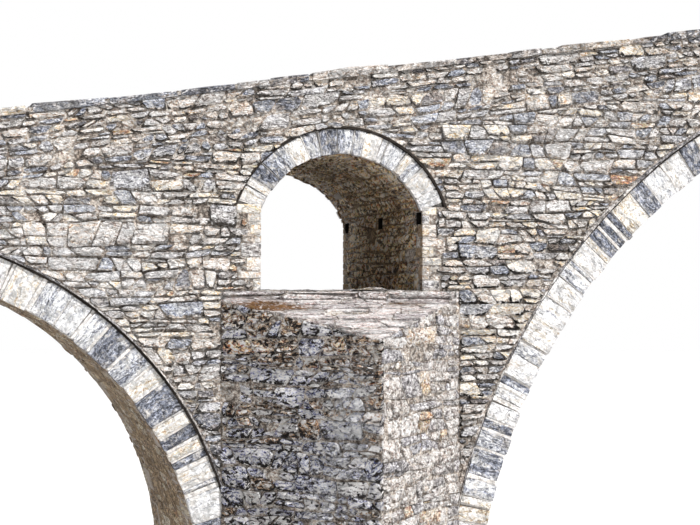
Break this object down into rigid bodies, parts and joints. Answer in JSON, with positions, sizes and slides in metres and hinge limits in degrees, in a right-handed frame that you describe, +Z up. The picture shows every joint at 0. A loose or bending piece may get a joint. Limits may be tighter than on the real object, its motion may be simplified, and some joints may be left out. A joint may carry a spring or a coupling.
{
  "type": "stone arch bridge, scale model 1:2",
  "caption": "Humped stone footbridge with a large round arch between two smaller ones, pointed cutwaters and relief windows over its piers.",
  "frame": {"origin": "on the ground, centred under the crown of the large arch", "axes": "+X along the bridge, to the right in the picture; -Y is the pictured side; +Z up"},
  "size_m": [28, 3.29, 6.2028],
  "materials": {
    "wall_stone": "weathered coursed rubble in beige, grey and ochre limestone with lime mortar",
    "vault_stone": "brown mortared rubble of the arch undersides",
    "ring_stone": "thin pale and blue-grey marble voussoirs with white mortar",
    "slab_stone": "rough split grey slabs",
    "paving_stone": "worn cobble paving",
    "core_rubble": "rubble and lime mortar fill"
  },
  "bodies": {
    "root": {"pier_right": "wall_stone", "pier_left": "wall_stone", "abutment_right": "wall_stone", "abutment_left": "wall_stone", "cutwater_front_right": "wall_stone", "cutwater_front_left": "wall_stone", "cutwater_back_right": "wall_stone", "cutwater_back_left": "wall_stone", "main_barrel": "vault_stone", "main_ring_front": "ring_stone", "main_ring_back": "ring_stone", "main_hood_slabs": "slab_stone", "side_barrel_right": "vault_stone", "side_barrel_left": "vault_stone", "side_rings_right": "ring_stone", "side_rings_left": "ring_stone", "side_hood_slabs_right": "slab_stone", "side_hood_slabs_left": "slab_stone", "window_rings_right": "ring_stone", "window_rings_left": "ring_stone", "window_hood_slabs_right": "slab_stone", "window_hood_slabs_left": "slab_stone", "window_lining_right": "vault_stone", "window_lining_left": "vault_stone", "window_floor_right": "slab_stone", "window_floor_left": "slab_stone", "wall_front_inner_right": "wall_stone", "wall_front_inner_left": "wall_stone", "wall_back_inner_right": "wall_stone", "wall_back_inner_left": "wall_stone", "wall_front_outer_right": "wall_stone", "wall_front_outer_left": "wall_stone", "wall_back_outer_right": "wall_stone", "wall_back_outer_left": "wall_stone", "core_inner_right": "core_rubble", "core_inner_left": "core_rubble", "core_outer_right": "core_rubble", "core_outer_left": "core_rubble", "paving_right": "paving_stone", "paving_left": "paving_stone", "parapet_front": "wall_stone", "parapet_back": "wall_stone", "coping_front": "slab_stone", "coping_back": "slab_stone"}
  },
  "joints": []
}
